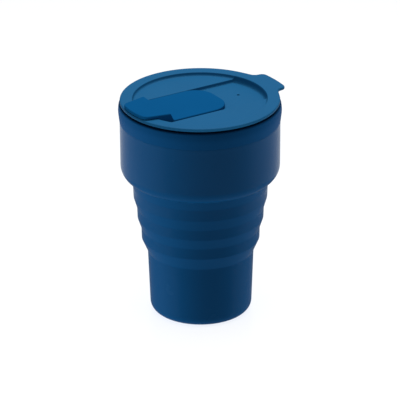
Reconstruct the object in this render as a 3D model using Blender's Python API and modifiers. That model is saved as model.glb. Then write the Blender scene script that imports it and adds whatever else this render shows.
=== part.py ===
"""Collapsible travel cup with a press-in lid and a sliding closure.

The silicone body is a stack of stiff rings joined by thin slanted webs. Each web folds inside
out, so that every ring drops over the one below it. The body is one moulding; here it is split
into its stiff zones and its webs, because each stiff zone moves on its own.

Metres, +Z up. The origin is the centre of the base's underside. The drinking side of the lid
faces -Y and its lifting tab faces +Y.
"""

import math

import bmesh
import bpy
from mathutils import Vector

MM = 0.001
STEPS = 48  # facets round each turned piece
ARC_STEPS = 4  # facets in each rounded corner
SHOULDER_STEPS = 7
GAP = 0.3 * MM  # clearance between neighbouring solids
SHARP_ANGLE = math.radians(32)

# Silicone body, outside: (radius, height) where each stiff zone begins and ends.
BASE_FOOT = (28.55 * MM, 0.0)
BASE_TOP = (29.95 * MM, 36.6 * MM)
RING_3 = ((33.3 * MM, 44.3 * MM), (33.45 * MM, 50.6 * MM))
RING_2 = ((35.55 * MM, 56.9 * MM), (35.75 * MM, 62.95 * MM))
RING_1 = ((37.65 * MM, 69.45 * MM), (38.0 * MM, 76.2 * MM))
BAND_WAIST = (44.95 * MM, 112.9 * MM)
BAND_TOP = (45.0 * MM, 115.4 * MM)

# The band's rounded shoulder overhangs the top web, which meets it at SHOULDER_INNER_RADIUS.
SHOULDER = (44.8 * MM, 89.1 * MM)
SHOULDER_RADIUS = 8.0 * MM
SHOULDER_INNER_RADIUS = 39.6 * MM

BASE_EDGE_RADIUS = 5.2 * MM
BASE_WALL = 2.0 * MM
FLOOR = 2.6 * MM
RING_WALL = 1.3 * MM
WEB_WALL = 0.9 * MM
BAND_WALL = 2.2 * MM

# Stiff collar round the rim: a channel, open below, that holds the silicone's thinned edge.
COLLAR_BOTTOM = BAND_TOP[1] + GAP
COLLAR_TOP = 125.4 * MM
COLLAR_LOW_RADIUS = 45.1 * MM
COLLAR_RADIUS = 45.85 * MM
COLLAR_WALL = 1.35 * MM
COLLAR_WEB = 1.5 * MM  # thickness of the channel's closed top
RIM_EDGE_WALL = 1.2 * MM  # the silicone's edge inside the channel
LIP_WALL = 1.1 * MM
LIP_DEPTH = 7.6 * MM

# Lid: a flanged disc whose plug stands inside the collar. Depths are below the flange's top.
LID_TOP = 128.3 * MM
LID_RADIUS = 44.8 * MM
LID_EDGE = 0.5 * MM
FLANGE = 1.8 * MM
RECESS_TOP_RADIUS = 37.8 * MM
RECESS_RADIUS = 37.0 * MM
SHELF_DEPTH = 1.9 * MM
CHANNEL_DEPTH = 3.8 * MM
CHANNEL_HALF_WIDTH = 16.8 * MM
LID_PLATE = 1.6 * MM
PLUG_RADIUS = 38.5 * MM
PLUG_WALL = 1.4 * MM
PLUG_DEPTH = 10.0 * MM
TAB_HALF_WIDTH = 12.0 * MM
TAB_REACH = 50.6 * MM
TAB_CORNER = 4.0 * MM
TAB_BLEND = 4.0 * MM
TAB_NECK = 0.8 * MM  # the tab's straight sides start this far inside the lid's rearmost point
VENT_Y = 25.3 * MM
VENT_RADIUS = 0.8 * MM
MOUTH_Y = (-33.8 * MM, -28.3 * MM)
MOUTH_HALF_WIDTH = 8.0 * MM
MOUTH_CORNER = 2.6 * MM

# Gasket: a silicone sleeve on the plug, with a washer that keeps the lid off the collar.
GASKET_WALL = 1.1 * MM
GASKET_RIB = 0.45 * MM
GASKET_RADIUS = 43.4 * MM

# Slider: a tongue in the channel and a raised cover that reaches over the rim.
TRAVEL = 20.0 * MM
TONGUE_TOP = LID_TOP - 1.5 * MM
TONGUE_HALF_WIDTH = 16.3 * MM
TONGUE_END = 11.6 * MM
TONGUE_CORNER = 12.0 * MM
COVER_TOP = LID_TOP + 2.1 * MM
COVER_INNER_Y = -28.3 * MM
COVER_RADIUS = 44.5 * MM
COVER_HALF_WIDTHS = (14.8 * MM, 11.6 * MM)  # at its inner edge and at the rim
STEM_Y = -14.0 * MM
STEM_SIZE = 6.0 * MM
STEM_PLAY = 0.4 * MM
BARB = 0.8 * MM
RETAINER = (16.0 * MM, 12.0 * MM, 1.4 * MM)
SEAL_MARGIN = 0.7 * MM
SEAL_THICKNESS = 1.2 * MM


def srgb(red, green, blue):
    """Linear RGBA from display values between 0 and 1."""
    return [(c / 12.92 if c < 0.04045 else ((c + 0.055) / 1.055) ** 2.4) for c in (red, green, blue)] + [1]


def make_material(name, colour, roughness):
    material = bpy.data.materials.new(name)
    material.use_nodes = True
    shader = material.node_tree.nodes["Principled BSDF"]
    shader.inputs["Base Color"].default_value = srgb(*colour)
    shader.inputs["Roughness"].default_value = roughness
    shader.inputs["Metallic"].default_value = 0.0
    return material


def clear_scene():
    for obj in list(bpy.data.objects):
        bpy.data.objects.remove(obj, do_unlink=True)


def make_collection(name, hidden=False):
    collection = bpy.data.collections.new(name)
    bpy.context.scene.collection.children.link(collection)
    collection.hide_render = hidden
    return collection


def rounded(points, radii, closed=False):
    """The polyline with the corner at each point replaced by an arc of that radius, or kept at 0."""
    count = len(points)
    result = []
    for i, (point, radius) in enumerate(zip(points, radii)):
        here = Vector(point)
        at_end = not closed and i in (0, count - 1)
        if radius == 0 or at_end:
            result.append(tuple(here))
            continue
        back = (Vector(points[i - 1]) - here).normalized()
        ahead = (Vector(points[(i + 1) % count]) - here).normalized()
        half = back.angle(ahead) / 2
        centre = here + (back + ahead).normalized() * (radius / math.sin(half))
        start = here + back * (radius / math.tan(half)) - centre
        end = here + ahead * (radius / math.tan(half)) - centre
        turn = start.angle_signed(end)
        for k in range(ARC_STEPS + 1):
            angle = -turn * k / ARC_STEPS
            spoke = (start.x * math.cos(angle) - start.y * math.sin(angle),
                     start.x * math.sin(angle) + start.y * math.cos(angle))
            result.append(tuple(centre + Vector(spoke)))
    return result


def arc(radius, start, end, steps):
    """Points on a circle round the cup's axis, between two angles from +Y towards +X."""
    angles = [start + (end - start) * k / steps for k in range(steps + 1)]
    return [(radius * math.sin(a), radius * math.cos(a)) for a in angles]


def bake(obj):
    """Replaces the object's mesh by the evaluated one, shaded smooth with its edges sharp."""
    graph = bpy.context.evaluated_depsgraph_get()
    mesh = bpy.data.meshes.new_from_object(obj.evaluated_get(graph))
    obj.modifiers.clear()
    old = obj.data
    obj.data = mesh
    bpy.data.meshes.remove(old)
    mesh.shade_smooth()
    mesh.set_sharp_from_angle(angle=SHARP_ANGLE)
    mesh.name = obj.name
    return obj


def turned(name, profile, collection, closed=True):
    """A solid of revolution about Z. The profile runs down its outer side at +X."""
    mesh = bpy.data.meshes.new(name)
    count = len(profile)
    edges = [(i, (i + 1) % count) for i in range(count if closed else count - 1)]
    mesh.from_pydata([(r, 0, z) for r, z in profile], edges, [])
    obj = bpy.data.objects.new(name, mesh)
    collection.objects.link(obj)
    screw = obj.modifiers.new("turn", "SCREW")
    screw.steps = STEPS
    screw.render_steps = STEPS
    screw.use_merge_vertices = True
    screw.merge_threshold = 0.01 * MM
    return bake(obj)


def extruded(name, outline, low, high, collection):
    """A flat outline in X and Y, filled and raised from one height to another."""
    curve = bpy.data.curves.new(name, "CURVE")
    curve.dimensions = "2D"
    curve.fill_mode = "BOTH"
    curve.extrude = (high - low) / 2
    spline = curve.splines.new("POLY")
    spline.points.add(len(outline) - 1)
    for point, (x, y) in zip(spline.points, outline):
        point.co = (x, y, 0, 1)
    spline.use_cyclic_u = True
    guide = bpy.data.objects.new(name + "_outline", curve)
    collection.objects.link(guide)
    guide.location.z = (low + high) / 2
    bpy.context.view_layer.update()
    graph = bpy.context.evaluated_depsgraph_get()
    mesh = bpy.data.meshes.new_from_object(guide.evaluated_get(graph))
    shape = bmesh.new()
    shape.from_mesh(mesh)
    bmesh.ops.remove_doubles(shape, verts=shape.verts, dist=0.001 * MM)
    bmesh.ops.recalc_face_normals(shape, faces=shape.faces)
    shape.to_mesh(mesh)
    shape.free()
    mesh.name = name
    obj = bpy.data.objects.new(name, mesh)
    obj.matrix_world = guide.matrix_world
    collection.objects.link(obj)
    bpy.data.objects.remove(guide)
    bpy.data.curves.remove(curve)
    return obj


def box(name, low, high, collection):
    """A block between two opposite corners."""
    size = Vector(high) - Vector(low)
    shape = bmesh.new()
    bmesh.ops.create_cube(shape, size=1)
    bmesh.ops.scale(shape, vec=size, verts=shape.verts)
    mesh = bpy.data.meshes.new(name)
    shape.to_mesh(mesh)
    shape.free()
    obj = bpy.data.objects.new(name, mesh)
    obj.location = (Vector(low) + Vector(high)) / 2
    collection.objects.link(obj)
    return obj


def cylinder(name, radius, centre, low, high, steps, collection):
    shape = bmesh.new()
    bmesh.ops.create_cone(shape, cap_ends=True, segments=steps, radius1=radius, radius2=radius,
                          depth=high - low)
    mesh = bpy.data.meshes.new(name)
    shape.to_mesh(mesh)
    shape.free()
    obj = bpy.data.objects.new(name, mesh)
    obj.location = (centre[0], centre[1], (low + high) / 2)
    collection.objects.link(obj)
    return obj


def combine(obj, operation, *others):
    """Joins or cuts the object with each of the others, which stay hidden as cutters."""
    for other in others:
        other.hide_render = True
        other.display_type = "WIRE"
        boolean = obj.modifiers.new(other.name, "BOOLEAN")
        boolean.operation = operation
        boolean.solver = "EXACT"
        boolean.object = other
    bpy.context.view_layer.update()
    return bake(obj)


def finish_part(obj, material, parent):
    obj.data.materials.clear()
    obj.data.materials.append(material)
    obj.parent = parent
    obj.matrix_parent_inverse = parent.matrix_world.inverted()
    return obj


def joint_empty(name, location, parent, collection):
    """An empty on a joint's axis, which carries the pieces that move there."""
    empty = bpy.data.objects.new(name, None)
    collection.objects.link(empty)
    empty.empty_display_size = 5 * MM
    empty.parent = parent
    offset = parent.matrix_world.translation if parent else Vector((0, 0, 0))
    empty.location = Vector(location) - offset
    bpy.context.view_layer.update()
    return empty


def base_cup(parts):
    """The bottom tumbler: flat floor, rounded foot and a slightly flared wall."""
    top = BASE_TOP[1] - GAP / 2
    inner_foot = BASE_FOOT[0] - BASE_WALL
    corners = [(0, FLOOR), (inner_foot, FLOOR), (BASE_TOP[0] - BASE_WALL, top), (BASE_TOP[0], top),
               BASE_FOOT, (0, 0)]
    profile = rounded(corners, [0, BASE_EDGE_RADIUS - BASE_WALL, 0, 0, BASE_EDGE_RADIUS, 0])
    return turned("base_cup", profile, parts, closed=False)


def stiff_ring(name, ends, parts):
    """A short upright ring between two webs."""
    (low_radius, low), (high_radius, high) = ends
    low += GAP / 2
    high -= GAP / 2
    profile = [(high_radius, high), (low_radius, low), (low_radius - RING_WALL, low),
               (high_radius - RING_WALL, high)]
    return turned(name, profile, parts)


def fold_web(name, low_end, high_end, parts):
    """A thin slanted web from the top of one stiff zone to the bottom of the next."""
    low = (low_end[0], low_end[1] + GAP / 2)
    high = (high_end[0], high_end[1] - GAP / 2)
    profile = [high, low, (low[0] - WEB_WALL, low[1]), (high[0] - WEB_WALL, high[1])]
    return turned(name, profile, parts)


def shoulder_arc(wall):
    """The shoulder's round section at this depth inside its outer skin, from its top down."""
    centre_radius = SHOULDER[0] - SHOULDER_RADIUS
    radius = SHOULDER_RADIUS - wall
    last = math.acos((SHOULDER_INNER_RADIUS - centre_radius) / radius)
    angles = [last * k / SHOULDER_STEPS for k in range(SHOULDER_STEPS + 1)]
    return [(centre_radius + radius * math.cos(a), SHOULDER[1] - radius * math.sin(a)) for a in angles]


def upper_band(parts):
    """The tall top ring: an overhanging shoulder below, and a thinned edge above."""
    outside = shoulder_arc(0)
    inside = shoulder_arc(BAND_WALL)
    low = outside[-1][1] + GAP / 2
    outside[-1] = (SHOULDER_INNER_RADIUS, low)
    inner_edge = SHOULDER_INNER_RADIUS - WEB_WALL
    edge_outer = COLLAR_LOW_RADIUS - COLLAR_WALL - GAP
    edge_inner = edge_outer - RIM_EDGE_WALL
    edge_top = COLLAR_TOP - COLLAR_WEB - GAP
    profile = [(edge_outer, edge_top), (edge_outer, BAND_TOP[1]), BAND_TOP, BAND_WAIST, *outside,
               (inner_edge, low), (inner_edge, inside[-1][1]), *inside[::-1],
               (edge_inner, BAND_TOP[1]), (edge_inner, edge_top)]
    return turned("upper_band", profile, parts)


def collar_lip_radius():
    """Inner radius of the collar's channel, which the lid's gasket seals against."""
    return COLLAR_LOW_RADIUS - COLLAR_WALL - GAP - RIM_EDGE_WALL - GAP - LIP_WALL


def rim_collar(parts):
    """The stiff rim: an outer wall that swells slightly, a top, and a lip inside the silicone."""
    wall_inner = COLLAR_LOW_RADIUS - COLLAR_WALL
    lip_inner = collar_lip_radius()
    lip_outer = lip_inner + LIP_WALL
    channel_top = COLLAR_TOP - COLLAR_WEB
    lip_low = COLLAR_TOP - LIP_DEPTH
    swell = COLLAR_BOTTOM + 0.62 * (COLLAR_TOP - COLLAR_BOTTOM)
    profile = [(lip_inner + 0.4 * MM, COLLAR_TOP), (COLLAR_RADIUS - 0.7 * MM, COLLAR_TOP),
               (COLLAR_RADIUS - 0.15 * MM, COLLAR_TOP - 0.7 * MM), (COLLAR_RADIUS, swell),
               (COLLAR_LOW_RADIUS, COLLAR_BOTTOM), (wall_inner, COLLAR_BOTTOM),
               (wall_inner, channel_top), (lip_outer, channel_top), (lip_outer, lip_low),
               (lip_inner, lip_low), (lip_inner, COLLAR_TOP - 0.4 * MM)]
    return turned("rim_collar", profile, parts)


def channel_outline(radius, half_width):
    """A circle with its sides cut straight at half_width, round at its -Y and +Y ends."""
    half_angle = math.asin(half_width / radius)
    far_end = arc(radius, -half_angle, half_angle, 8)
    return far_end + arc(radius, math.pi - half_angle, math.pi + half_angle, 8)


def rounded_rectangle(half_width, low_y, high_y, corner):
    corners = [(-half_width, low_y), (half_width, low_y), (half_width, high_y), (-half_width, high_y)]
    return rounded(corners, [corner] * 4, closed=True)


def shelf_pocket_outline(side):
    """The hollow under one of the two raised shelves beside the channel."""
    near = CHANNEL_HALF_WIDTH + LID_PLATE
    radius = RECESS_RADIUS - LID_PLATE
    half_angle = math.acos(near / radius)
    middle = math.pi / 2 * side
    return arc(radius, middle - half_angle, middle + half_angle, 10)


def tab_outline():
    """The lifting tab, blended into the edge of the lid."""
    root_x = TAB_HALF_WIDTH + 7.5 * MM
    root_y = math.sqrt(LID_RADIUS ** 2 - root_x ** 2)
    neck_y = LID_RADIUS - TAB_NECK
    right = [(root_x, root_y - 3 * MM), (root_x, root_y), (TAB_HALF_WIDTH, neck_y),
             (TAB_HALF_WIDTH, TAB_REACH)]
    left = [(-x, y) for x, y in reversed(right)]
    radii = [0, 0, TAB_BLEND, TAB_CORNER]
    return rounded(right + left, radii + radii[::-1], closed=True)


def lid_disc(parts):
    """Flange, recess and plug in one turned shape."""
    shelf = LID_TOP - SHELF_DEPTH
    underside = LID_TOP - CHANNEL_DEPTH - LID_PLATE
    plug_low = LID_TOP - PLUG_DEPTH
    plug_inner = PLUG_RADIUS - PLUG_WALL
    flange_low = LID_TOP - FLANGE
    profile = [(0, shelf), (RECESS_RADIUS, shelf), (RECESS_TOP_RADIUS - 0.4 * MM, LID_TOP - 0.4 * MM),
               (RECESS_TOP_RADIUS, LID_TOP), (LID_RADIUS - LID_EDGE, LID_TOP),
               (LID_RADIUS, LID_TOP - LID_EDGE), (LID_RADIUS, flange_low + LID_EDGE / 2),
               (LID_RADIUS - LID_EDGE / 2, flange_low), (PLUG_RADIUS, flange_low), (PLUG_RADIUS, plug_low),
               (plug_inner, plug_low), (plug_inner, underside), (0, underside)]
    return turned("lid", profile, parts, closed=False)


def lid(parts, cutters):
    """The lid's disc with its tab, its channel, the drinking mouth, the slider's slot and a vent."""
    disc = lid_disc(parts)
    floor = LID_TOP - CHANNEL_DEPTH
    underside = floor - LID_PLATE
    above = LID_TOP + 5 * MM
    below = underside - 5 * MM
    tab = extruded("lid_tab", tab_outline(), LID_TOP - FLANGE, LID_TOP, cutters)
    combine(disc, "UNION", tab)
    channel = extruded("channel_cutter", channel_outline(RECESS_RADIUS, CHANNEL_HALF_WIDTH), floor, above,
                       cutters)
    pockets = [extruded(f"shelf_pocket_{side}", shelf_pocket_outline(sign), below,
                        LID_TOP - SHELF_DEPTH - LID_PLATE, cutters)
               for side, sign in (("right", 1), ("left", -1))]
    mouth_outline = rounded_rectangle(MOUTH_HALF_WIDTH, *MOUTH_Y, MOUTH_CORNER)
    mouth = extruded("mouth_cutter", mouth_outline, below, above, cutters)
    reach = STEM_SIZE / 2 + STEM_PLAY
    slot = box("slot_cutter", (-reach, STEM_Y - reach, below), (reach, STEM_Y + TRAVEL + reach, above),
               cutters)
    vent = cylinder("vent_cutter", VENT_RADIUS, (0, VENT_Y), below, above, 12, cutters)
    return combine(disc, "DIFFERENCE", channel, *pockets, mouth, slot, vent)


def lid_gasket(parts):
    """Sleeve with two sealing ribs round the plug, under a washer that spaces the lid."""
    sleeve_inner = PLUG_RADIUS + GAP
    sleeve_outer = sleeve_inner + GASKET_WALL
    rib = sleeve_outer + GASKET_RIB
    top = LID_TOP - FLANGE - GAP
    washer_low = COLLAR_TOP + GAP
    low = LID_TOP - PLUG_DEPTH + 1.5 * MM
    rib_half = 0.5 * MM
    profile = [(GASKET_RADIUS, top), (GASKET_RADIUS, washer_low), (sleeve_outer, washer_low)]
    for height in (COLLAR_TOP - 2.0 * MM, COLLAR_TOP - 4.4 * MM):
        profile += [(sleeve_outer, height + rib_half), (rib, height), (sleeve_outer, height - rib_half)]
    profile += [(sleeve_outer, low), (sleeve_inner, low), (sleeve_inner, top)]
    return turned("lid_gasket", profile, parts)


def slider(parts, cutters):
    """Tongue, raised cover, snap stem and the pocket for the seal."""
    low = LID_TOP - CHANNEL_DEPTH + GAP
    tongue = [(-TONGUE_HALF_WIDTH, COVER_INNER_Y), (TONGUE_HALF_WIDTH, COVER_INNER_Y),
              (TONGUE_HALF_WIDTH, TONGUE_END), (-TONGUE_HALF_WIDTH, TONGUE_END)]
    tongue_outline = rounded(tongue, [0, 0, TONGUE_CORNER, TONGUE_CORNER], closed=True)
    plate = extruded("slider", tongue_outline, low, TONGUE_TOP, parts)
    inner, outer = COVER_HALF_WIDTHS
    half_angle = math.asin(outer / COVER_RADIUS)
    rim_side = arc(COVER_RADIUS, math.pi - half_angle, math.pi + half_angle, 8)
    overlap_y = COVER_INNER_Y + 0.5 * MM
    cover_outline = [(-inner, overlap_y), (inner, overlap_y)] + rim_side
    cover = extruded("slider_cover", cover_outline, low, COVER_TOP, cutters)
    under_rim = turned("rim_clearance", [(RECESS_RADIUS + 20 * MM, LID_TOP + GAP),
                                         (RECESS_RADIUS + 20 * MM, low - 5 * MM),
                                         (RECESS_RADIUS - 1.2 * GAP, low - 5 * MM),
                                         (RECESS_RADIUS - 1.2 * GAP, LID_TOP - 0.5 * MM),
                                         (RECESS_TOP_RADIUS - 0.5 * MM, LID_TOP + GAP)], cutters)
    combine(cover, "DIFFERENCE", under_rim)
    half = STEM_SIZE / 2
    retainer_top = LID_TOP - CHANNEL_DEPTH - LID_PLATE - 2 * GAP
    barb_top = retainer_top - RETAINER[2] - GAP
    stem = box("slider_stem", (-half, STEM_Y - half, barb_top - BARB), (half, STEM_Y + half, low + 1 * MM),
               cutters)
    barb = box("slider_barb", (-half - BARB, STEM_Y - half, barb_top - 2 * BARB),
               (half + BARB, STEM_Y + half, barb_top), cutters)
    combine(plate, "UNION", cover, stem, barb)
    pocket_top = low + SEAL_THICKNESS + GAP
    pocket = extruded("seal_pocket_cutter", seal_outline(GAP), low - 1 * MM, pocket_top, cutters)
    return combine(plate, "DIFFERENCE", pocket)


def seal_outline(margin):
    """The drinking mouth's outline, larger by the seal's overlap and this margin."""
    grow = SEAL_MARGIN + margin
    return rounded_rectangle(MOUTH_HALF_WIDTH + grow, MOUTH_Y[0] - grow, MOUTH_Y[1] + grow,
                             MOUTH_CORNER + grow)


def slider_seal(parts):
    """Soft pad in the slider's underside that closes the mouth."""
    low = LID_TOP - CHANNEL_DEPTH + GAP
    return extruded("slider_seal", seal_outline(0), low, low + SEAL_THICKNESS, parts)


def slider_retainer(parts, cutters):
    """Plate below the lid, snapped over the stem's barbs, which keeps the slider down."""
    width, length, thickness = RETAINER
    top = LID_TOP - CHANNEL_DEPTH - LID_PLATE - 2 * GAP
    plate = box("slider_retainer", (-width / 2, STEM_Y - length / 2, top - thickness),
                (width / 2, STEM_Y + length / 2, top), parts)
    reach = STEM_SIZE / 2 + GAP
    hole = box("retainer_cutter", (-reach, STEM_Y - reach, top - 2 * thickness),
               (reach, STEM_Y + reach, top + thickness), cutters)
    return combine(plate, "DIFFERENCE", hole)


def main():
    clear_scene()
    parts = make_collection("collapsible_travel_cup")
    cutters = make_collection("cutters", hidden=True)
    silicone = make_material("silicone_body", (0.05, 0.24, 0.40), 0.45)
    rim_plastic = make_material("rim_plastic", (0.06, 0.22, 0.39), 0.38)
    lid_plastic = make_material("lid_plastic", (0.16, 0.40, 0.58), 0.42)
    slider_plastic = make_material("slider_plastic", (0.05, 0.34, 0.54), 0.40)
    seal_silicone = make_material("seal_silicone", (0.04, 0.16, 0.30), 0.55)

    base = joint_empty("base_joint", (0, 0, 0), None, parts)
    low = joint_empty("ring_3_joint", (0, 0, RING_3[0][1]), base, parts)
    middle = joint_empty("ring_2_joint", (0, 0, RING_2[0][1]), low, parts)
    high = joint_empty("ring_1_joint", (0, 0, RING_1[0][1]), middle, parts)
    upper = joint_empty("upper_joint", (0, 0, SHOULDER[1]), high, parts)
    lifted = joint_empty("lid_joint", (0, 0, COLLAR_TOP), upper, parts)
    sliding = joint_empty("slider_joint", (0, STEM_Y, LID_TOP - CHANNEL_DEPTH), lifted, parts)

    finish_part(base_cup(parts), silicone, base)
    finish_part(fold_web("fold_web_4", BASE_TOP, RING_3[0], parts), silicone, base)
    finish_part(stiff_ring("ring_3", RING_3, parts), silicone, low)
    finish_part(fold_web("fold_web_3", RING_3[1], RING_2[0], parts), silicone, low)
    finish_part(stiff_ring("ring_2", RING_2, parts), silicone, middle)
    finish_part(fold_web("fold_web_2", RING_2[1], RING_1[0], parts), silicone, middle)
    finish_part(stiff_ring("ring_1", RING_1, parts), silicone, high)
    shoulder_low = (SHOULDER_INNER_RADIUS, shoulder_arc(0)[-1][1])
    finish_part(fold_web("fold_web_1", RING_1[1], shoulder_low, parts), silicone, high)
    finish_part(upper_band(parts), silicone, upper)
    finish_part(rim_collar(parts), rim_plastic, upper)
    finish_part(lid(parts, cutters), lid_plastic, lifted)
    finish_part(lid_gasket(parts), seal_silicone, lifted)
    finish_part(slider(parts, cutters), slider_plastic, sliding)
    finish_part(slider_retainer(parts, cutters), slider_plastic, sliding)
    finish_part(slider_seal(parts), seal_silicone, sliding)


main()
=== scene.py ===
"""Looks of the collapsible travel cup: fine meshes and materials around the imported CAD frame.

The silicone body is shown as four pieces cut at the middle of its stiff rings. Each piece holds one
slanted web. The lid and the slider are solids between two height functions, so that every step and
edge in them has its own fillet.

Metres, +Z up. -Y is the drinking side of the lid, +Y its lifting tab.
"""

import math

import bpy
import numpy as np
from mathutils import Euler, Matrix, Vector
from mathutils.geometry import delaunay_2d_cdt


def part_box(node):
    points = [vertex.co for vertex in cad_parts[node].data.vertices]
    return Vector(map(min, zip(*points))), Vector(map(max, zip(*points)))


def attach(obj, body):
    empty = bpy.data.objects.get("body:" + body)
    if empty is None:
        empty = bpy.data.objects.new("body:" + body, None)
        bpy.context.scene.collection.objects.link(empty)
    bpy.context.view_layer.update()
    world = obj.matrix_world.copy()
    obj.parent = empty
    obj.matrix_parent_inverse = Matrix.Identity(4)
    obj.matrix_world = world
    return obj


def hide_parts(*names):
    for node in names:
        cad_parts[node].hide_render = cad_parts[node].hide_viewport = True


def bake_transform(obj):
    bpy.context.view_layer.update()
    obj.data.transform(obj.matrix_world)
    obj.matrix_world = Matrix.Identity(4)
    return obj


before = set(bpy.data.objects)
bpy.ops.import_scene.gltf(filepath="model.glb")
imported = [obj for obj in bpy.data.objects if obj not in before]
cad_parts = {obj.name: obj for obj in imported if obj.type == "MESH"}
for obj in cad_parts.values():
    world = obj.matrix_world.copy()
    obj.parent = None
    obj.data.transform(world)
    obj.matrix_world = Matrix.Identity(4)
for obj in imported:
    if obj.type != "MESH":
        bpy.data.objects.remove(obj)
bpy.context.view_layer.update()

MM = 0.001

# How finely the pieces are divided.
SEGMENTS = 160  # facets round each turned piece
ARC_STEP = math.radians(9)  # largest turn between two facets of a fillet
FILLET_STEPS = 3  # fewest facets of a fillet between two faces
SHARP_ANGLE = math.radians(35)
PROFILE_STEP = 1.2 * MM  # longest straight stretch of a turned profile
WEB_STEP = 0.45 * MM  # the same where the silicone folds
SHOULDER_STEPS = (12, 8)  # facets of the shoulder's arc, outside and inside
TAB_STEP = 1.5 * MM  # longest stretch of the tab's outline
SLIDER_STEP = 0.6 * MM  # and of the slider's
COVER_STEPS = (8, 24)  # facets of a corner of the cover and of its end
GUIDE_STEP = 2 * MM  # longest stretch of a line that a plate's triangles follow
BOW_STEPS = 40  # along the round side of a pocket under the lid
STEP_GUIDE_POINTS = 21  # across the step from the slider's cover to its tongue
GUIDE_INSET = 1 * MM  # those lines end this far inside the tongue's sides
RIM_GUIDE_REACH = 10 * MM  # half the width of the lines under the cover, where it passes the rim
RIM_GUIDE_STEPS = 12
VENT_SEGMENTS = 24
TOLERANCE = 1e-7
ROUNDING = 1e-6  # a stretch this little over its limit, as a share, isn't split
LEVEL_TOLERANCE = 0.02 * MM  # points this close in height belong to the same edge
FLAT_WEIGHT = 90  # of 100: how far large faces outweigh small ones in the shading of an edge

# Silicone body: what the frame's boxes don't give.
BASE_TAPER = 1.4 * MM  # the foot's radius is this much less than the base's at its top
BASE_EDGE_RADIUS = 5.2 * MM
BASE_WALL = 2.0 * MM
BASE_FLOOR = 2.6 * MM
BASE_LEDGE = 1.0 * MM  # the base's thick wall ends this far below its crease
BASE_LEDGE_RADIUS = 0.6 * MM
RING_WALL = 1.3 * MM
WEB_WALL = 0.9 * MM
WEB_SHIFT = (0.3 * MM, 0.25 * MM)  # its inner side lies this much further in, and up, as it slants
CREASE_RADII = (0.5 * MM, 0.8 * MM)  # fillets at a web's lower and upper ends
INNER_CREASE_RADIUS = 0.4 * MM
BAND_WALL = 2.2 * MM
SHOULDER_RADIUS = 8.0 * MM
BAND_LOW_RADIUS = 44.8 * MM
BAND_WAIST = (44.95 * MM, 112.9 * MM)
BAND_WAIST_RADIUS = 2 * MM
BAND_TOP_RADIUS = 45.0 * MM
BAND_SEAM_RADII = (0.03 * MM, 0.12 * MM)  # inner and outer fillets of the ledge under the collar
BAND_RIM_RADIUS = 0.4 * MM
BAND_INNER_LEDGE_RADIUS = 1.0 * MM

# Rim collar: a channel, open below, over the silicone's thinned edge.
COLLAR_LOW_RADIUS = 45.1 * MM
COLLAR_WALL = 1.35 * MM
COLLAR_WEB = 1.5 * MM
COLLAR_SWELL = 0.62  # share of its height at which it is widest
COLLAR_TOP_INSET = 0.5 * MM
RIM_EDGE_WALL = 1.2 * MM
LIP_WALL = 1.1 * MM
LIP_DEPTH = 7.6 * MM
COLLAR_FILLETS = [r * MM for r in (0.45, 1.0, 12, 0.15, 0.1, 0.2, 0.2, 0.4, 0.4)]  # in the corners' order
GAP = 0.3 * MM
SEAM = 0.03 * MM  # joint line between the collar and the silicone band

# Lid: depths are below the flange's top.
FLANGE = 1.8 * MM
RECESS_RADIUS = 37.0 * MM
RECESS_EASE = 0.2 * MM  # the middle of the recess's wall is this far outside that radius
SHELF_DEPTH = 1.9 * MM
CHANNEL_DEPTH = 3.8 * MM
CHANNEL_HALF_WIDTH = 16.8 * MM
LID_PLATE = 1.6 * MM
PLUG_RADIUS = 38.5 * MM
PLUG_WALL = 1.4 * MM
PLUG_DEPTH = 10.0 * MM
TAB_HALF_WIDTH = 12.0 * MM
TAB_ROOT = 7.5 * MM  # the tab leaves the lid's circle this far outside its own sides
TAB_CORNER = 3.6 * MM
TAB_BLEND = 4.0 * MM
TAB_BOW = math.radians(4.5)  # the tab's end bows outwards, and leans this far at its corners
TAB_BOW_RADIUS = 60.0 * MM
TAB_NECK = 0.8 * MM  # the tab's straight sides start this far inside the lid's rearmost point
VENT_Y = 25.3 * MM
VENT_RADIUS = 0.8 * MM
MOUTH_Y = (-33.8 * MM, -28.3 * MM)
MOUTH_HALF_WIDTH = 8.0 * MM
MOUTH_CORNER = 2.6 * MM
SLOT_CORNER = 0.5 * MM

# Lid gasket.
GASKET_WALL = 1.1 * MM
GASKET_EDGE = 0.3 * MM
GASKET_INNER_EDGE = 0.15 * MM
RIB_DEPTHS = (2.0 * MM, 4.4 * MM)  # below the collar's top
RIB_REACH = 0.45 * MM
RIB_HALF_HEIGHT = 0.5 * MM
RIB_FILLETS = [0.2 * MM, 0.15 * MM, 0.2 * MM]

# Slider, with its stem, retainer and seal.
TRAVEL = 20.0 * MM
TONGUE_DEPTH = 1.5 * MM
TONGUE_HALF_WIDTH = 16.3 * MM
TONGUE_CORNER = 12.0 * MM
COVER_RISE = 2.1 * MM
COVER_INNER_Y = -28.3 * MM
COVER_SLOPE = 2.0 * MM  # run of the step from the cover down to the tongue
COVER_RADIUS = 44.5 * MM
COVER_HALF_WIDTHS = (14.8 * MM, 11.6 * MM)  # at its inner edge and at the rim
COVER_CORNER = 4.5 * MM
COVER_WAIST_RADII = [2 * MM, 1 * MM]  # where its sides widen to the tongue's, at either end of the step
RIM_CLEARANCE = 1.2 * GAP  # between the slider's thick part and the recess's radius
STEM_Y = -14.0 * MM
STEM_SIZE = 6.0 * MM
STEM_PLAY = 0.4 * MM
STEM_CORNER = 0.25 * MM
STEM_ROOT = 0.6 * MM  # length of the stem inside the tongue
BARB = 0.8 * MM
BARB_FACE = 0.4 * MM  # a barb's upright outer face
SHARP_STEP = 0.02 * MM  # run of a step that looks square
STEM_GUIDE_INSET = 0.1 * MM
RETAINER_CORNER = 2 * MM
RETAINER_HOLE_CORNER = 0.4 * MM
SEAL_MARGIN = 0.7 * MM

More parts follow.
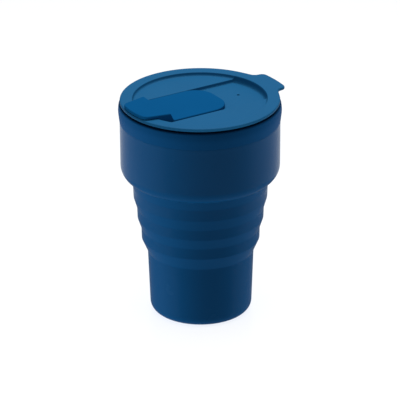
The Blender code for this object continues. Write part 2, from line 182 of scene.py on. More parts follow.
# Walls of the lid and the slider: upper fillet, lower fillet, and lean off upright.
RECESS_WALL = (0.45 * MM, 1.3 * MM, math.radians(14))
CHANNEL_WALL = (0.35 * MM, 0.8 * MM, math.radians(8))
PLUG_OUTER_WALL = (0.3 * MM, 0.3 * MM, math.radians(0.5))
PLUG_INNER_WALL = (0.3 * MM, 0.5 * MM, math.radians(0.5))
POCKET_WALL = (0.3 * MM, 0.3 * MM, math.radians(2))
COVER_STEP_WALL = (1.0 * MM, 2.0 * MM, math.radians(38))
COVER_RIM_WALL = (0.5 * MM, 0.3 * MM, math.radians(3))

# Fillets of the plates' edges: at the top and below.
LID_EDGES = (0.9 * MM, 0.4 * MM)
MOUTH_EDGES = (0.4 * MM, 0.3 * MM)
SLOT_EDGES = (0.2 * MM, 0.2 * MM)
VENT_EDGES = (0.15 * MM, 0.1 * MM)
SLIDER_EDGES = (0.7 * MM, 0.25 * MM)
STEM_EDGES = (0.08 * MM, 0.15 * MM)
RETAINER_EDGES = (0.35 * MM, 0.35 * MM)
RETAINER_HOLE_EDGES = (0.2 * MM, 0.2 * MM)
SEAL_EDGES = (0.2 * MM, 0.4 * MM)

# Materials: soft clouds that shift the colour and the roughness, and a fine grain.
CLOUD_SCALE = 45
CLOUD_DETAIL = 4
MOTTLING = 0.06
GLOSS_SPREAD = 0.04
GRAIN_DETAIL = 3
GRAIN_STRENGTH = 0.5

# Camera.
VIEW_AZIMUTH = math.radians(58.2)
VIEW_ELEVATION = math.radians(24.06)
VIEW_DISTANCE = 2.3
VIEW_ROLL = math.radians(-0.31)
VIEW_TARGET_HEIGHT = 66.0 * MM
VIEW_TARGET_SHIFT = -0.25 * MM  # to the viewer's right of the cup's axis
LENS = 367.4
SENSOR_WIDTH = 36
CLIP_START = 0.1

# Studio.
FLOOR_RADIUS = 4.0
FLOOR_MIDDLE = 0.17  # radius of the patch of floor that the cup doesn't mirror
FLOOR_SEGMENTS = 96
FLOOR_COLOUR = (0.93, 0.93, 0.93, 1)
FLOOR_ROUGHNESS = 0.2
FLOOR_SPECULAR = 0.35
SKY_COLOUR = (0.96, 0.98, 1.0, 1)
SKY_STRENGTH = 0.28


# ---------------------------------------------------------------- outlines and profiles

def rounded(points, radii, closed=True):
    """The polyline with each corner replaced by an arc of its radius, or kept where that is 0."""
    count = len(points)
    result = []
    for i, (point, radius) in enumerate(zip(points, radii)):
        here = Vector(point)
        if radius == 0 or (not closed and i in (0, count - 1)):
            result.append(tuple(here))
            continue
        back = (Vector(points[i - 1]) - here).normalized()
        ahead = (Vector(points[(i + 1) % count]) - here).normalized()
        half = back.angle(ahead) / 2
        centre = here + (back + ahead).normalized() * (radius / math.sin(half))
        start = here + back * (radius / math.tan(half)) - centre
        end = here + ahead * (radius / math.tan(half)) - centre
        turn = -start.angle_signed(end)
        steps = max(2, math.ceil(abs(turn) / ARC_STEP))
        for k in range(steps + 1):
            spoke = Matrix.Rotation(turn * k / steps, 2) @ start
            result.append(tuple(centre + spoke))
    return result


def subdivided(points, longest, closed=True):
    """The polyline with points added so that no stretch is longer than this."""
    result = []
    count = len(points)
    for i in range(count if closed else count - 1):
        a, b = Vector(points[i]), Vector(points[(i + 1) % count])
        steps = max(1, math.ceil((b - a).length / longest - ROUNDING))
        result += [tuple(a.lerp(b, k / steps)) for k in range(steps)]
    return result if closed else result + [tuple(points[-1])]


def arc(centre, radius, start, end, steps):
    """Points from one angle to another, anticlockwise from +X when end is larger."""
    angles = [start + (end - start) * k / steps for k in range(steps + 1)]
    return [(centre[0] + radius * math.cos(a), centre[1] + radius * math.sin(a)) for a in angles]


def circle(radius, segments=SEGMENTS, centre=(0, 0)):
    return arc(centre, radius, 0, 2 * math.pi * (1 - 1 / segments), segments - 1)


def wall_profile(height, top_radius, low_radius, lean):
    """Runs and drops from 0 to 1 across a wall: fillet, slope this far off upright, fillet."""
    tilt = math.pi / 2 - lean
    steps = max(FILLET_STEPS, math.ceil(tilt / ARC_STEP))
    angles = [tilt * k / steps for k in range(steps + 1)]
    straight = height - (top_radius + low_radius) * (1 - math.cos(tilt))
    width = (top_radius + low_radius) * math.sin(tilt) + straight / math.tan(tilt)
    runs = [top_radius * math.sin(a) for a in angles]
    drops = [top_radius * (1 - math.cos(a)) for a in angles]
    runs += [width - low_radius * math.sin(a) for a in reversed(angles)]
    drops += [height - low_radius * (1 - math.cos(a)) for a in reversed(angles)]
    return np.array(runs), np.array(drops) / height


# ---------------------------------------------------------------- meshes

def link(name, mesh):
    obj = bpy.data.objects.new(name, mesh)
    bpy.context.scene.collection.objects.link(obj)
    return obj


def smooth_mesh(name, points, faces):
    mesh = bpy.data.meshes.new(name)
    mesh.from_pydata([tuple(p) for p in points], [], faces)
    mesh.validate()
    mesh.shade_smooth()
    mesh.set_sharp_from_angle(angle=SHARP_ANGLE)
    return mesh


def turned(name, profile):
    """A solid of revolution about Z from a closed profile that runs down its outer side."""
    points = []
    rows = []
    for radius, height in profile:
        if radius < TOLERANCE:
            rows.append([len(points)] * SEGMENTS)
            points.append((0, 0, height))
            continue
        rows.append(range(len(points), len(points) + SEGMENTS))
        points += [(x, y, height) for x, y in circle(radius)]
    faces = []
    for i, row in enumerate(rows):
        below = rows[(i + 1) % len(rows)]
        for k in range(SEGMENTS):
            m = (k + 1) % SEGMENTS
            corners = list(dict.fromkeys((row[k], below[k], below[m], row[m])))
            if len(corners) > 2:
                faces.append(corners)
    return link(name, smooth_mesh(name, points, faces))


def inside(points, loops):
    """Which points lie within an odd number of the loops: inside the outline and off its holes."""
    result = np.zeros(len(points), bool)
    x, y = points[:, 0], points[:, 1]
    for loop in loops:
        a = np.array(loop)
        b = np.roll(a, -1, axis=0)
        for (ax, ay), (bx, by) in zip(a, b):
            if ay == by:
                continue
            crosses = (ay > y) != (by > y)
            result ^= crosses & (x < ax + (y - ay) * (bx - ax) / (by - ay))
    return result


def edge_distance(points, loop):
    """Distance in plan from each point to a closed outline."""
    a = np.array(loop)
    side = np.roll(a, -1, axis=0) - a
    nearest = np.full(len(points), np.inf)
    for start, along in zip(a, side):
        offset = points - start
        share = np.clip(offset @ along / (along @ along), 0, 1)
        gap = np.hypot(*(offset - share[:, None] * along).T)
        nearest = np.minimum(nearest, gap)
    return nearest


def shrunk(loop, distance):
    """The outline moved inwards by this distance, or outwards round a hole."""
    a = np.array(loop)
    ahead = np.roll(a, -1, axis=0) - a
    ahead /= np.linalg.norm(ahead, axis=1)[:, None]
    normal = np.stack([-ahead[:, 1], ahead[:, 0]], axis=1)
    mean = normal + np.roll(normal, 1, axis=0)
    mean /= (mean * mean).sum(axis=1)[:, None] / 2
    return [tuple(p) for p in a + mean * distance]


def fillet_runs(radius):
    """How far inside an edge each facet of its fillet ends."""
    steps = max(FILLET_STEPS, math.ceil(math.pi / 2 / ARC_STEP))
    return [radius * (1 - math.cos(math.pi / 2 * k / steps)) for k in range(1, steps + 1)]


def filled(loops, guides):
    """Triangles between the loops, with the guide lines as edges. The loops' points come first."""
    points = [Vector(p) for loop in loops for p in loop]
    border = len(points)
    edges = []
    first = 0
    for loop in loops:
        edges += [(first + k, first + (k + 1) % len(loop)) for k in range(len(loop))]
        first += len(loop)
    for line, is_closed in guides:
        start = len(points)
        points += [Vector(p) for p in line]
        edges += [(start + k, start + k + 1) for k in range(len(line) - 1)]
        if is_closed:
            edges.append((len(points) - 1, start))
    spots, _, triangles, sources, _, _ = delaunay_2d_cdt(points, edges, [], 0, TOLERANCE)
    order = {}
    placed = [None] * border
    for k, made_from in enumerate(sources):
        corner = [s for s in made_from if s < border]
        if corner:
            order[k] = corner[0]
            placed[corner[0]] = spots[k]
        else:
            order[k] = len(placed)
            placed.append(spots[k])
    flat = np.array([tuple(p) for p in placed])
    triangles = np.array([[order[k] for k in t] for t in triangles])
    triangles = triangles[inside(flat[triangles].mean(axis=1), loops)]
    return flat, triangles


def plate(name, loops, top, low, edges, guides):
    """A closed solid over an outline and its holes, between two height functions.

    loops: the outline anticlockwise, then each hole clockwise. edges: the fillet radii of the top
    and low rims of each loop. guides: lines that the top and the low triangles follow.
    """
    sides = []
    for surface, side, lines in ((top, 0, guides[0]), (low, 1, guides[1])):
        fillets = [(shrunk(loop, run), True) for loop, radii in zip(loops, edges)
                   for run in fillet_runs(radii[side])]
        flat, triangles = filled(loops, fillets + lines)
        height = surface(flat[:, 0], flat[:, 1])
        for loop, radii in zip(loops, edges):
            radius = radii[side]
            lacking = np.clip(radius - edge_distance(flat, loop), 0, radius)
            drop = radius - np.sqrt(radius ** 2 - lacking ** 2)
            height = height - drop if side == 0 else height + drop
        sides.append((np.column_stack([flat, height]), triangles))
    (upper, up_faces), (under, down_faces) = sides
    base = len(upper)
    faces = [tuple(t) for t in up_faces] + [tuple(base + t[::-1]) for t in down_faces]
    first = 0
    for loop in loops:
        for k in range(len(loop)):
            a, b = first + k, first + (k + 1) % len(loop)
            faces.append((a, base + a, base + b, b))
        first += len(loop)
    obj = link(name, smooth_mesh(name, np.vstack([upper, under]), faces))
    flats = obj.modifiers.new("flat faces stay flat", "WEIGHTED_NORMAL")
    flats.keep_sharp = True
    flats.weight = FLAT_WEIGHT
    return obj


# ---------------------------------------------------------------- materials

def moulded(name, colour, roughness, specular, grain, depth):
    """A moulded plastic or silicone: faint mottling, uneven gloss and a fine pressed grain.

    grain: size of the grain's pits. depth: how deep they are.
    """
    material = bpy.data.materials.new(name)
    material.use_nodes = True
    nodes = material.node_tree.nodes
    wire = material.node_tree.links.new
    shader = nodes["Principled BSDF"]
    place = nodes.new("ShaderNodeTexCoord").outputs["Object"]

    cloud = nodes.new("ShaderNodeTexNoise")
    cloud.inputs["Scale"].default_value = CLOUD_SCALE
    cloud.inputs["Detail"].default_value = CLOUD_DETAIL
    wire(place, cloud.inputs["Vector"])
    tint = nodes.new("ShaderNodeMix")
    tint.data_type = "RGBA"
    tint.inputs["A"].default_value = [c * (1 - MOTTLING) for c in colour] + [1]
    tint.inputs["B"].default_value = [c * (1 + MOTTLING) for c in colour] + [1]
    wire(cloud.outputs["Fac"], tint.inputs["Factor"])
    wire(tint.outputs["Result"], shader.inputs["Base Color"])

    gloss = nodes.new("ShaderNodeMapRange")
    gloss.inputs["To Min"].default_value = roughness - GLOSS_SPREAD
    gloss.inputs["To Max"].default_value = roughness + GLOSS_SPREAD
    wire(cloud.outputs["Fac"], gloss.inputs["Value"])
    wire(gloss.outputs["Result"], shader.inputs["Roughness"])

    pores = nodes.new("ShaderNodeTexNoise")
    pores.inputs["Scale"].default_value = 1 / grain
    pores.inputs["Detail"].default_value = GRAIN_DETAIL
    wire(place, pores.inputs["Vector"])
    press = nodes.new("ShaderNodeBump")
    press.inputs["Strength"].default_value = GRAIN_STRENGTH
    press.inputs["Distance"].default_value = depth
    wire(pores.outputs["Fac"], press.inputs["Height"])
    wire(press.outputs["Normal"], shader.inputs["Normal"])

    shader.inputs["Specular IOR Level"].default_value = specular
    return material


def dress(piece, material):
    """Gives a piece its only material."""
    piece.data.materials.clear()
    piece.data.materials.append(material)


SILICONE = moulded("satin navy silicone", colour=(0.001, 0.0285, 0.083), roughness=0.26,
                   specular=0.04, grain=0.5 * MM, depth=0.01 * MM)
COLLAR_PLASTIC = moulded("navy collar plastic", colour=(0.0015, 0.028, 0.083), roughness=0.5,
                         specular=0.012, grain=0.7 * MM, depth=0.008 * MM)
LID_PLASTIC = moulded("matte blue lid plastic", colour=(0.0085, 0.1, 0.233), roughness=0.5,
                      specular=0.04, grain=0.35 * MM, depth=0.02 * MM)
SLIDER_PLASTIC = moulded("deep blue slider plastic", colour=(0.0035, 0.077, 0.212), roughness=0.5,
                         specular=0.0, grain=0.5 * MM, depth=0.006 * MM)
SEAL_SILICONE = moulded("dark seal silicone", colour=(0.003, 0.02, 0.06), roughness=0.55,
                        specular=0.1, grain=0.6 * MM, depth=0.01 * MM)


# ---------------------------------------------------------------- silicone body

def node_radius(node, top):
    """Outer radius of a turned CAD node at its highest or lowest level."""
    spots = np.array([v.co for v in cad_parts[node].data.vertices])
    level = spots[:, 2].max() if top else spots[:, 2].min()
    edge = spots[np.abs(spots[:, 2] - level) < LEVEL_TOLERANCE]
    return float(np.hypot(edge[:, 0], edge[:, 1]).max())


def crease(below, above):
    """(radius, height) of the outer edge between two neighbouring zones."""
    height = (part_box(below)[1].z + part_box(above)[0].z) / 2
    return Vector((node_radius(above, top=False), height))


def middle(ring):
    """(radius, height) half-way up a stiff ring, where the body's pieces meet."""
    low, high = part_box(ring)
    return Vector(((node_radius(ring, True) + node_radius(ring, False)) / 2, (low.z + high.z) / 2))


def inward(point, wall, rise=0.0):
    """The (radius, height) point moved towards the axis, and up."""
    return (point[0] - wall, point[1] + rise)


def fold_zone(foot, head):
    """The web between two creases, outside from the top down and inside from the bottom up."""
    shift, rise = WEB_SHIFT
    within = [inward(end, WEB_WALL + shift, rise) for end in (foot, head)]
    return [head, foot], within


def body_piece(name, outside, outside_radii, within, within_radii, web):
    """One closed piece of the silicone body, finely divided where its web folds.

    outside runs from the top down and within from the bottom up, each with its corners' radii.
    """
    profile = subdivided(rounded(outside + within, outside_radii + within_radii), PROFILE_STEP)
    low, high = web[0][1], web[1][1]
    fine = []
    for i, point in enumerate(profile):
        following = profile[(i + 1) % len(profile)]
        in_web = low - PROFILE_STEP < (point[1] + following[1]) / 2 < high + PROFILE_STEP
        stretch = subdivided([point, following], WEB_STEP if in_web else PROFILE_STEP, closed=False)
        fine += stretch[:-1]
    return turned(name, fine)


def finish_body(piece, low_body, high_body, web, *nodes):
    """Gives the piece its silicone, sets its place into its mesh, and hides the CAD nodes it replaces."""
    dress(piece, SILICONE)
    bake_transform(piece)
    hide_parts(*nodes)


def make_body():
    """The silicone, in four pieces that each hold one web."""
    foot_crease, head_crease = CREASE_RADII
    zones = ("base_cup", "ring_3", "ring_2", "ring_1", "upper_band")
    webs = {number: (crease(below, f"fold_web_{number}"), crease(f"fold_web_{number}", above))
            for number, below, above in zip((4, 3, 2, 1), zones, zones[1:])}

    # Base, with the lowest web and half of the ring above it.
    foot_radius = node_radius("base_cup", top=True) - BASE_TAPER
    ring = middle("ring_3")
    web_out, web_in = fold_zone(*webs[4])
    outside = [ring, *web_out, (foot_radius, 0), (0, 0)]
    radii = [0, head_crease, foot_crease, BASE_EDGE_RADIUS, 0]
    within = [(0, BASE_FLOOR), (foot_radius - BASE_WALL, BASE_FLOOR),
              inward(webs[4][0], BASE_WALL, -BASE_LEDGE), *web_in, inward(ring, RING_WALL)]
    within_radii = [0, BASE_EDGE_RADIUS - BASE_WALL, BASE_LEDGE_RADIUS,
                    INNER_CREASE_RADIUS, INNER_CREASE_RADIUS, 0]
    base = body_piece("silicone_base", outside, radii, within, within_radii, webs[4])
    finish_body(base, "base_body", "ring_3_body", webs[4], "base_cup", "fold_web_4")

    # Two folds between half rings.
    for number, lower, upper in ((3, "ring_3", "ring_2"), (2, "ring_2", "ring_1")):
        low_ring, high_ring = middle(lower), middle(upper)
        web_out, web_in = fold_zone(*webs[number])
        piece = body_piece(f"silicone_fold_{number}", [high_ring, *web_out, low_ring],
                           [0, head_crease, foot_crease, 0],
                           [inward(low_ring, RING_WALL), *web_in, inward(high_ring, RING_WALL)],
                           [0, INNER_CREASE_RADIUS, INNER_CREASE_RADIUS, 0], webs[number])
        finish_body(piece, f"{lower}_body", f"{upper}_body", webs[number], lower, f"fold_web_{number}")

    # Upper band with its overhanging shoulder, its thinned edge inside the collar, and the top web.
    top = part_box("upper_band")[1].z
    band_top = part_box("rim_collar")[0].z - SEAM
    edge_outer = COLLAR_LOW_RADIUS - COLLAR_WALL - GAP
    centre_radius = BAND_LOW_RADIUS - SHOULDER_RADIUS
    end = webs[1][1]
    run = end[0] - centre_radius
    centre = (centre_radius, end[1] + math.sqrt(SHOULDER_RADIUS ** 2 - run ** 2))
    last = -math.acos(run / SHOULDER_RADIUS)
    bend = arc(centre, SHOULDER_RADIUS, 0, last, SHOULDER_STEPS[0])
    inner_bend = arc(centre, SHOULDER_RADIUS - BAND_WALL, last, 0, SHOULDER_STEPS[1])
    low_ring = middle("ring_1")
    web_in = fold_zone(*webs[1])[1][:1]
    outside = [(edge_outer, top), (edge_outer, band_top), (BAND_TOP_RADIUS, band_top), BAND_WAIST,
               *bend, webs[1][0], low_ring]
    radii = [BAND_RIM_RADIUS, *BAND_SEAM_RADII, BAND_WAIST_RADIUS, *[0] * len(bend), foot_crease, 0]
    edge_inner = edge_outer - RIM_EDGE_WALL
    within = [inward(low_ring, RING_WALL), *web_in, *inner_bend,
              (edge_inner, band_top), (edge_inner, top)]
    within_radii = [0, INNER_CREASE_RADIUS, *[0] * len(inner_bend),
                    BAND_INNER_LEDGE_RADIUS, BAND_RIM_RADIUS]
    band = body_piece("silicone_band", outside, radii, within, within_radii, webs[1])
    finish_body(band, "ring_1_body", "rim_body", webs[1], "ring_1", "fold_web_1", "upper_band")


def make_collar():
    """The stiff channel over the silicone's rim."""
    low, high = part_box("rim_collar")
    bottom, top, widest = low.z, high.z, high.x
    wall_inner = COLLAR_LOW_RADIUS - COLLAR_WALL
    lip_outer = wall_inner - GAP - RIM_EDGE_WALL - GAP
    lip_inner = lip_outer - LIP_WALL
    channel_top = top - COLLAR_WEB
    swell = bottom + COLLAR_SWELL * (top - bottom)
    corners = [(lip_inner, top), (widest - COLLAR_TOP_INSET, top), (widest, swell),
               (COLLAR_LOW_RADIUS, bottom), (wall_inner, bottom), (wall_inner, channel_top),
               (lip_outer, channel_top), (lip_outer, top - LIP_DEPTH), (lip_inner, top - LIP_DEPTH)]
    collar = turned("collar_shell", subdivided(rounded(corners, COLLAR_FILLETS), PROFILE_STEP))
    dress(collar, COLLAR_PLASTIC)
    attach(collar, "rim_body")
    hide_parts("rim_collar")


# ---------------------------------------------------------------- lid

def lid_outline(radius, reach):
    """The lid's circle with the lifting tab blended into it at +Y."""
    root_x = TAB_HALF_WIDTH + TAB_ROOT
    root_angle = math.acos(root_x / radius)
    root_y = radius * math.sin(root_angle)
    peak = reach + TAB_BOW_RADIUS * (1 / math.cos(TAB_BOW) - 1)
    corner_y = peak - TAB_HALF_WIDTH * math.tan(TAB_BOW)
    right = [(TAB_HALF_WIDTH, corner_y), (TAB_HALF_WIDTH, radius - TAB_NECK), (root_x, root_y)]
    left = [(-x, y) for x, y in reversed(right)]
    radii = [0, TAB_BLEND, TAB_CORNER]
    tab = rounded(left + [(0, peak)] + right, radii + [TAB_BOW_RADIUS] + radii[::-1], closed=False)
    tab = subdivided(tab, TAB_STEP, closed=False)
    steps = round(SEGMENTS * (math.pi + 2 * root_angle) / (2 * math.pi))
    disc = arc((0, 0), radius, math.pi - root_angle, 2 * math.pi + root_angle, steps)
    return disc + tab[::-1][1:-1]


def hole(outline):
    """A hole's outline runs clockwise."""
    return outline[::-1]


def rounded_box(half_width, low_y, high_y, corner):
    """A rectangle's outline with rounded corners, anticlockwise."""
    corners = [(-half_width, low_y), (half_width, low_y), (half_width, high_y), (-half_width, high_y)]
    return rounded(corners, [corner] * 4)


def side_lines(x, radius):
    """The two lines along the lid at this distance from its middle, within a circle."""
    reach = math.sqrt(radius ** 2 - x ** 2)
    stretch = subdivided([(0, -reach), (0, reach)], GUIDE_STEP, closed=False)
    return [([(side * x, y) for _, y in stretch], False) for side in (1, -1)]


def make_lid():
    """The lid, with its recess, channel, plug, pockets, holes and tab."""
    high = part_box("lid")[1]
    top_level, radius, reach = high.z, high.x, high.y
    step_height = CHANNEL_DEPTH - SHELF_DEPTH
    wall = wall_profile(SHELF_DEPTH, *RECESS_WALL)
    step = wall_profile(step_height, *CHANNEL_WALL)
    wall_start = RECESS_RADIUS + wall[0][-1] / 2 + RECESS_EASE
    step_start = CHANNEL_HALF_WIDTH + step[0][-1] / 2

    def top(x, y):
        sunk = np.interp(wall_start - np.hypot(x, y), *wall)
        channel = np.interp(step_start - np.abs(x), *step)
        return top_level - sunk * (SHELF_DEPTH + step_height * channel)

    top_guides = [(circle(wall_start - run), True) for run in wall[0]]
    for run in step[0]:
        top_guides += side_lines(step_start - run, wall_start)

    plug_height = PLUG_DEPTH - FLANGE
    plug_wall = wall_profile(plug_height, *PLUG_OUTER_WALL)
    inner_height = PLUG_DEPTH - CHANNEL_DEPTH - LID_PLATE
    inner_wall = wall_profile(inner_height, *PLUG_INNER_WALL)
    inner_start = PLUG_RADIUS - PLUG_WALL
    pocket_wall = wall_profile(step_height, *POCKET_WALL)
    pocket_side = CHANNEL_HALF_WIDTH + LID_PLATE
    pocket_radius = RECESS_RADIUS - LID_PLATE

    def under(x, y):
        away = np.hypot(x, y)
        plug = np.interp(PLUG_RADIUS - away, *plug_wall)
        inner = np.interp(inner_start - away, *inner_wall)
        pocket = np.interp(np.abs(x) - pocket_side, *pocket_wall)
        pocket = pocket * np.interp(pocket_radius - away, *pocket_wall)
        return top_level - FLANGE - plug * plug_height + inner * inner_height + pocket * step_height

    low_guides = [(circle(PLUG_RADIUS - run), True) for run in plug_wall[0]]
    low_guides += [(circle(inner_start - run), True) for run in inner_wall[0]]
    for run in pocket_wall[0]:
        reach_out = pocket_radius - run
        half = math.acos((pocket_side + run) / reach_out)
        for turn in (0, math.pi):
            bow = arc((0, 0), reach_out, turn - half, turn + half, BOW_STEPS)
            low_guides.append((subdivided(bow, GUIDE_STEP), True))

    slot_reach = STEM_SIZE / 2 + STEM_PLAY
    loops = [lid_outline(radius, reach),
             hole(rounded_box(MOUTH_HALF_WIDTH, *MOUTH_Y, MOUTH_CORNER)),
             hole(rounded_box(slot_reach, STEM_Y - slot_reach, STEM_Y + TRAVEL + slot_reach,
                              SLOT_CORNER)),
             hole(circle(VENT_RADIUS, VENT_SEGMENTS, (0, VENT_Y)))]
    edges = [LID_EDGES, MOUTH_EDGES, SLOT_EDGES, VENT_EDGES]
    lid = plate("lid_moulding", loops, top, under, edges, (top_guides, low_guides))
    dress(lid, LID_PLASTIC)
    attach(lid, "lid_body")
    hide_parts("lid")


def make_gasket():
    """The ring on the plug, with a washer under the lid's flange and two ribs."""
    low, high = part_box("lid_gasket")
    spots = np.array([v.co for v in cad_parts["lid_gasket"].data.vertices])
    inner = float(np.hypot(spots[:, 0], spots[:, 1]).min())
    outer = inner + GASKET_WALL
    collar_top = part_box("rim_collar")[1].z
    washer_low = collar_top + GAP
    corners = [(high.x, high.z), (high.x, washer_low), (outer, washer_low)]
    edges = [GASKET_EDGE, GASKET_EDGE, GASKET_INNER_EDGE]
    radii = list(edges)
    for depth in RIB_DEPTHS:
        height = collar_top - depth
        corners += [(outer, height + RIB_HALF_HEIGHT), (outer + RIB_REACH, height),
                    (outer, height - RIB_HALF_HEIGHT)]
        radii += RIB_FILLETS
    corners += [(outer, low.z), (inner, low.z), (inner, high.z)]
    radii += edges
    gasket = turned("gasket_ring", subdivided(rounded(corners, radii), PROFILE_STEP))
    dress(gasket, SEAL_SILICONE)
    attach(gasket, "lid_body")
    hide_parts("lid_gasket")


# ---------------------------------------------------------------- slider

def cover_end():
    """The cover's outer end, from left to right: an arc along the rim between two rounded corners."""
    inner, outer = COVER_HALF_WIDTHS
    start = Vector((outer, -math.sqrt(COVER_RADIUS ** 2 - outer ** 2)))
    along = (Vector((inner, COVER_INNER_Y)) - start).normalized()
    inward_normal = Vector((-along.y, along.x))
    offset = start + inward_normal * COVER_CORNER
    within = COVER_RADIUS - COVER_CORNER
    slide = -offset @ along + math.sqrt((offset @ along) ** 2 - offset @ offset + within ** 2)
    near, far = offset + along * slide, offset - along * (2 * (offset @ along) + slide)
    centre = min((near, far), key=lambda c: c.y)
    spoke = math.atan2(centre.y, centre.x)
    side = math.atan2(-inward_normal.y, -inward_normal.x)
    right = arc(centre, COVER_CORNER, spoke, side, COVER_STEPS[0])
    left = [(-x, y) for x, y in reversed(right)]
    rim = arc((0, 0), COVER_RADIUS, -math.pi - spoke, spoke, COVER_STEPS[1])
    return left + rim[1:-1] + right


def make_slider():
    """The drinking closure: a tongue in the lid's channel and a cover over its rim, in one piece."""
    low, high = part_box("slider")
    lid_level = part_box("lid")[1].z
    tongue_end = high.y
    tongue_level = lid_level - TONGUE_DEPTH
    floor_level = lid_level - CHANNEL_DEPTH + GAP
    rise = COVER_RISE + TONGUE_DEPTH
    slope = wall_profile(rise, *COVER_STEP_WALL)
    slope = (slope[0] * COVER_SLOPE / slope[0][-1], slope[1])

    def top(x, y):
        return tongue_level + rise * (1 - np.interp(y - COVER_INNER_Y, *slope))

    over_rim = wall_profile(CHANNEL_DEPTH, *COVER_RIM_WALL)
    over_start = RECESS_RADIUS - RIM_CLEARANCE + over_rim[0][-1]

    def under(x, y):
        return lid_level + GAP - CHANNEL_DEPTH * np.interp(over_start - np.hypot(x, y), *over_rim)

    rim_side = cover_end()
    right = [(COVER_HALF_WIDTHS[0], COVER_INNER_Y), (TONGUE_HALF_WIDTH, COVER_INNER_Y + COVER_SLOPE),
             (TONGUE_HALF_WIDTH, tongue_end)]
    left = [(-x, y) for x, y in reversed(right)]
    side_radii = [*COVER_WAIST_RADII, TONGUE_CORNER]
    radii = [0] * len(rim_side) + side_radii + side_radii[::-1]
    outline = subdivided(rounded(rim_side + right + left, radii), SLIDER_STEP)

    across = [share * (TONGUE_HALF_WIDTH - GUIDE_INSET) for share in np.linspace(-1, 1, STEP_GUIDE_POINTS)]
    top_guides = [([(x, COVER_INNER_Y + run) for x in across], False) for run in slope[0]]
    front = 1.5 * math.pi
    spread = math.asin(RIM_GUIDE_REACH / over_start)
    low_guides = [(arc((0, 0), over_start - run, front - spread, front + spread, RIM_GUIDE_STEPS),
                   False) for run in over_rim[0]]
    slider = plate("slider_moulding", [outline], top, under, [SLIDER_EDGES],
                   (top_guides, low_guides))
    dress(slider, SLIDER_PLASTIC)
    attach(slider, "slider_body")
    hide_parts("slider")
    make_stem(floor_level, low.z)


def level(height):
    """A height function that is the same everywhere."""
    return lambda x, y: np.full(len(x), height)


def make_stem(tongue_low, tip):
    """The post under the slider, down to its tip, with the two barbs that hold the retainer."""
    half = STEM_SIZE / 2
    barb_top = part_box("slider_retainer")[0].z - GAP
    reach = half + BARB

    def top(x, y):
        return np.where(np.abs(x) < half + SHARP_STEP / 2, tongue_low + STEM_ROOT, barb_top)

    def under(x, y):
        return np.interp(np.abs(x), [half - BARB, reach], [tip, barb_top - BARB_FACE])

    def guides(*offsets):
        """Lines along the stem, at each offset to both sides of its middle."""
        ends = (STEM_Y - half + STEM_GUIDE_INSET, STEM_Y + half - STEM_GUIDE_INSET)
        return [([(side * x, y) for y in ends], False) for side in (1, -1) for x in offsets]

    outline = [(x, y + STEM_Y) for x, y in rounded_box(reach, -half, half, STEM_CORNER)]
    stem = plate("slider_stem", [outline], top, under, [STEM_EDGES],
                 (guides(half, half + SHARP_STEP), guides(half - BARB)))
    dress(stem, SLIDER_PLASTIC)
    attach(stem, "slider_body")


def make_retainer():
    """The plate on the stem, below the lid."""
    low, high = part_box("slider_retainer")
    middle_y = (low.y + high.y) / 2
    reach = STEM_SIZE / 2 + GAP
    outline = rounded_box(high.x, low.y, high.y, RETAINER_CORNER)
    opening = hole(rounded_box(reach, middle_y - reach, middle_y + reach, RETAINER_HOLE_CORNER))
    retainer = plate("retainer_plate", [outline, opening], level(high.z), level(low.z),
                     [RETAINER_EDGES, RETAINER_HOLE_EDGES], ([], []))
    dress(retainer, SLIDER_PLASTIC)
    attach(retainer, "slider_body")
    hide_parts("slider_retainer")


def make_seal():
    """The soft pad under the slider, over the drinking mouth."""
    low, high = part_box("slider_seal")
    outline = rounded_box(high.x, low.y, high.y, MOUTH_CORNER + SEAL_MARGIN)
    seal = plate("seal_pad", [outline], level(high.z), level(low.z), [SEAL_EDGES], ([], []))
    dress(seal, SEAL_SILICONE)
    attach(seal, "slider_body")
    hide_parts("slider_seal")


# ---------------------------------------------------------------- studio

def outward(azimuth, elevation):
    """The unit vector away from the cup. Azimuth is from -Y, anticlockwise seen from above."""
    return Vector((math.sin(azimuth) * math.cos(elevation), -math.cos(azimuth) * math.cos(elevation),
                   math.sin(elevation)))


def around(azimuth, elevation, distance):
    """A place round the cup, in degrees from the camera's azimuth, positive to the viewer's right."""
    away = outward(VIEW_AZIMUTH + math.radians(azimuth), math.radians(elevation))
    return Vector((0, 0, VIEW_TARGET_HEIGHT)) + away * distance


def softbox(name, place, width, height, radiance, linked, state, glossy=True):
    """A rectangular light aimed at the cup's middle, of this radiance.

    state INCLUDE lights the linked objects alone, and only they cast shadows in it. EXCLUDE lights
    everything else, and they cast none.
    """
    light = bpy.data.lights.new(name, "AREA")
    light.shape = "RECTANGLE"
    light.size = width
    light.size_y = height
    light.energy = radiance * math.pi * width * height
    obj = bpy.data.objects.new(name, light)
    bpy.context.scene.collection.objects.link(obj)
    obj.location = place
    aim = Vector((0, 0, VIEW_TARGET_HEIGHT)) - place
    obj.rotation_euler = aim.to_track_quat("-Z", "Y").to_euler()
    obj.visible_glossy = glossy
    receivers = bpy.data.collections.new(name + "_receivers")
    for k, target in enumerate(linked):
        receivers.objects.link(target)
        receivers.collection_objects[k].light_linking.link_state = state
    obj.light_linking.receiver_collection = receivers
    obj.light_linking.blocker_collection = receivers


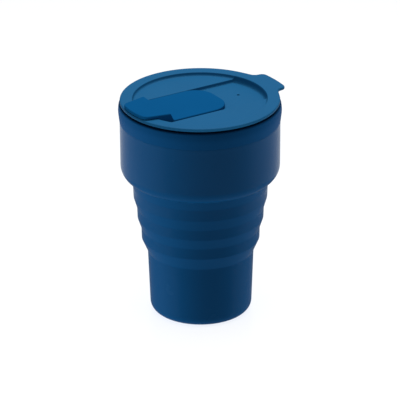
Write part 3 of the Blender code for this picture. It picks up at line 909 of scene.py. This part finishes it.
def make_floor():
    """A wide, pale, slightly glossy floor. The cup doesn't mirror the middle of it."""
    material = bpy.data.materials.new("pale floor")
    material.use_nodes = True
    shader = material.node_tree.nodes["Principled BSDF"]
    shader.inputs["Base Color"].default_value = FLOOR_COLOUR
    shader.inputs["Roughness"].default_value = FLOOR_ROUGHNESS
    shader.inputs["Specular IOR Level"].default_value = FLOOR_SPECULAR
    rings = [circle(radius, FLOOR_SEGMENTS) for radius in (FLOOR_MIDDLE, FLOOR_RADIUS)]
    points = [(x, y, 0) for ring in rings for x, y in ring]
    count = FLOOR_SEGMENTS
    outer = [(k, count + k, count + (k + 1) % count, (k + 1) % count) for k in range(count)]
    floors = []
    for name, faces in (("floor_middle", [range(count)]), ("studio_floor", outer)):
        mesh = bpy.data.meshes.new(name)
        mesh.from_pydata(points, [], faces)
        mesh.materials.append(material)
        floor = link(name, mesh)
        floors.append(floor)
    floors[0].visible_glossy = False
    return floors


def make_studio():
    world = bpy.data.worlds.new("studio")
    world.use_nodes = True
    background = world.node_tree.nodes["Background"]
    background.inputs["Color"].default_value = SKY_COLOUR
    background.inputs["Strength"].default_value = SKY_STRENGTH
    bpy.context.scene.world = world
    floors = make_floor()
    lid_pieces = [bpy.data.objects[name] for name in ("lid_moulding", "slider_moulding")]
    softbox("floor_wash", around(azimuth=0, elevation=88, distance=2.2), width=2.4, height=2.4,
            radiance=3.8, linked=floors, state="INCLUDE")
    softbox("key", around(azimuth=172, elevation=68, distance=2.0), width=1.6, height=1.2,
            radiance=7.2, linked=floors, state="EXCLUDE")
    softbox("front", around(azimuth=0, elevation=35, distance=2.0), width=1.2, height=0.8,
            radiance=1.1, linked=lid_pieces, state="INCLUDE", glossy=False)
    for name, azimuth, radiance in (("left", -86, 9.5), ("right", 112, 8.6)):
        softbox(name, around(azimuth, elevation=-22, distance=1.3), width=1.5, height=0.9,
                radiance=radiance, linked=floors + lid_pieces, state="EXCLUDE", glossy=False)
    bpy.context.scene.view_settings.view_transform = "Standard"


def make_camera():
    camera = bpy.data.cameras.new("camera")
    camera.lens = LENS
    camera.sensor_width = SENSOR_WIDTH
    camera.clip_start = CLIP_START
    obj = bpy.data.objects.new("camera", camera)
    bpy.context.scene.collection.objects.link(obj)
    right = Vector((math.cos(VIEW_AZIMUTH), math.sin(VIEW_AZIMUTH), 0))
    target = Vector((0, 0, VIEW_TARGET_HEIGHT)) + right * VIEW_TARGET_SHIFT
    obj.location = target + outward(VIEW_AZIMUTH, VIEW_ELEVATION) * VIEW_DISTANCE
    level_view = Euler((math.pi / 2 - VIEW_ELEVATION, 0, VIEW_AZIMUTH)).to_matrix()
    obj.rotation_euler = (level_view @ Matrix.Rotation(VIEW_ROLL, 3, "Z")).to_euler()
    bpy.context.scene.camera = obj


make_camera()
make_body()
make_collar()
make_lid()
make_gasket()
make_slider()
make_retainer()
make_seal()
make_studio()

bpy.context.view_layer.update()
